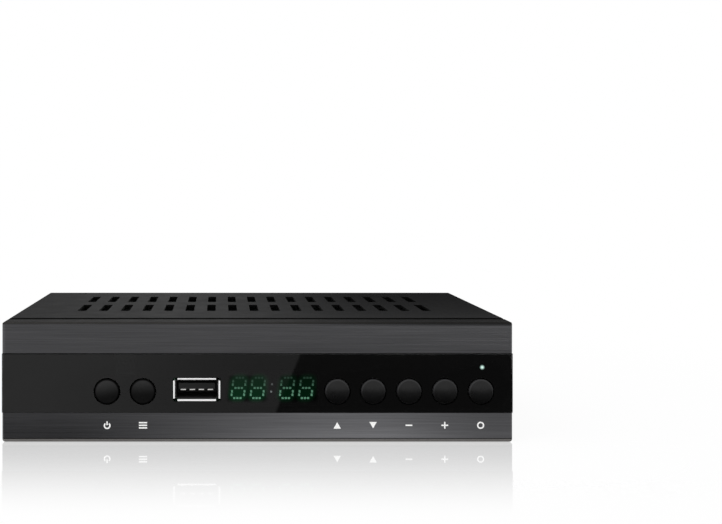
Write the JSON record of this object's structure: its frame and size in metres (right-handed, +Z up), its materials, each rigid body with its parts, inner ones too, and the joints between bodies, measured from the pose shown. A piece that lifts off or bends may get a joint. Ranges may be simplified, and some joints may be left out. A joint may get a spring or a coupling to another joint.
{
  "type": "terrestrial tv receiver",
  "caption": "Low black set-top receiver: vented steel case, brushed front with smoked lens, push buttons, USB socket, green clock display and rear aerial and video sockets.",
  "frame": {"origin": "on the floor, under the middle of the object's whole width and depth", "axes": "+X to the viewer's right along the front, +Y from the front to the rear panel, +Z up"},
  "size_m": [0.1598, 0.1068, 0.0369],
  "materials": {
    "bezel_plastic": "fine moulded grain, satin black",
    "trim_metal": "dark brushed strip, grain along the width",
    "lens_acrylic": "polished smoked acrylic",
    "cover_paint": "black powder coat on folded sheet steel",
    "pan_steel": "black coated sheet steel",
    "foot_rubber": "matte",
    "black_screw": "black oxide",
    "standoff_brass": "turned",
    "bright_screw": "zinc plated",
    "board_laminate": "green solder mask",
    "switch_body": "moulded",
    "button_plastic": "satin black, domed",
    "plunger_nylon": "natural nylon",
    "display_face": "dark display face",
    "lit_segment": "lit green dots",
    "light_pipe": "clear light pipe, lit",
    "sensor_resin": "dark infrared resin",
    "nickel_shell": "bright nickel plate",
    "nickel_sleeve": "turned, nickel plated",
    "socket_black": "moulded",
    "gold_contact": "gold flash",
    "tinned_steel": "tinned sheet",
    "insulator_white": "moulded",
    "insert_yellow": "moulded",
    "insert_white": "moulded",
    "insert_red": "moulded",
    "chip_resin": "moulded package",
    "sink_aluminium": "extruded",
    "capacitor_sleeve": "shrink sleeve",
    "ribbon_grey": "flat ribbon"
  },
  "bodies": {
    "case": {"front_bezel": "bezel_plastic", "upper_trim": "trim_metal", "lower_trim": "trim_metal", "lens_panel": "lens_acrylic", "top_cover": "cover_paint", "base_pan": "pan_steel", "rubber_feet": "foot_rubber", "cover_screws": "black_screw", "bezel_screws": "black_screw", "board_standoffs": "standoff_brass", "board_screws": "bright_screw", "front_board_screws": "bright_screw", "main_board": "board_laminate", "front_board": "board_laminate", "tact_switches": "switch_body", "display_module": "display_face", "display_segments": "lit_segment", "indicator_led": "light_pipe", "light_pipe": "light_pipe", "infrared_sensor": "sensor_resin", "usb_shell": "nickel_shell", "usb_tongue": "socket_black", "usb_contacts": "gold_contact", "tuner_can": "tinned_steel", "tuner_lid": "tinned_steel", "antenna_input": "nickel_sleeve", "loop_output": "nickel_sleeve", "antenna_insulators": "insulator_white", "antenna_contacts": "gold_contact", "hdmi_shell": "nickel_shell", "hdmi_tongue": "socket_black", "av_jack_block": "socket_black", "av_jack_sleeves": "nickel_sleeve", "video_jack_insert": "insert_yellow", "audio_left_insert": "insert_white", "audio_right_insert": "insert_red", "power_inlet": "socket_black", "power_inlet_pin": "nickel_sleeve", "decoder_chip": "chip_resin", "heat_sink": "sink_aluminium", "memory_chips": "chip_resin", "filter_capacitors": "capacitor_sleeve", "clock_crystal": "tinned_steel", "ribbon_cable": "ribbon_grey", "ribbon_sockets": "insulator_white"},
    "button_power": {"power_button": "button_plastic", "power_plunger": "plunger_nylon"},
    "button_menu": {"menu_button": "button_plastic", "menu_plunger": "plunger_nylon"},
    "button_channel_up": {"channel_up_button": "button_plastic", "channel_up_plunger": "plunger_nylon"},
    "button_channel_down": {"channel_down_button": "button_plastic", "channel_down_plunger": "plunger_nylon"},
    "button_volume_down": {"volume_down_button": "button_plastic", "volume_down_plunger": "plunger_nylon"},
    "button_volume_up": {"volume_up_button": "button_plastic", "volume_up_plunger": "plunger_nylon"},
    "button_ok": {"ok_button": "button_plastic", "ok_plunger": "plunger_nylon"}
  },
  "joints": [
    {"name": "power_press", "type": "slide", "parent": "case", "child": "button_power", "axis": [0, 1, 0], "range_m": [0, 0.0005], "stiffness_N_per_m": 2000},
    {"name": "menu_press", "type": "slide", "parent": "case", "child": "button_menu", "axis": [0, 1, 0], "range_m": [0, 0.0005], "stiffness_N_per_m": 2000},
    {"name": "channel_up_press", "type": "slide", "parent": "case", "child": "button_channel_up", "axis": [0, 1, 0], "range_m": [0, 0.0005], "stiffness_N_per_m": 2000},
    {"name": "channel_down_press", "type": "slide", "parent": "case", "child": "button_channel_down", "axis": [0, 1, 0], "range_m": [0, 0.0005], "stiffness_N_per_m": 2000},
    {"name": "volume_down_press", "type": "slide", "parent": "case", "child": "button_volume_down", "axis": [0, 1, 0], "range_m": [0, 0.0005], "stiffness_N_per_m": 2000},
    {"name": "volume_up_press", "type": "slide", "parent": "case", "child": "button_volume_up", "axis": [0, 1, 0], "range_m": [0, 0.0005], "stiffness_N_per_m": 2000},
    {"name": "ok_press", "type": "slide", "parent": "case", "child": "button_ok", "axis": [0, 1, 0], "range_m": [0, 0.0005], "stiffness_N_per_m": 2000}
  ]
}
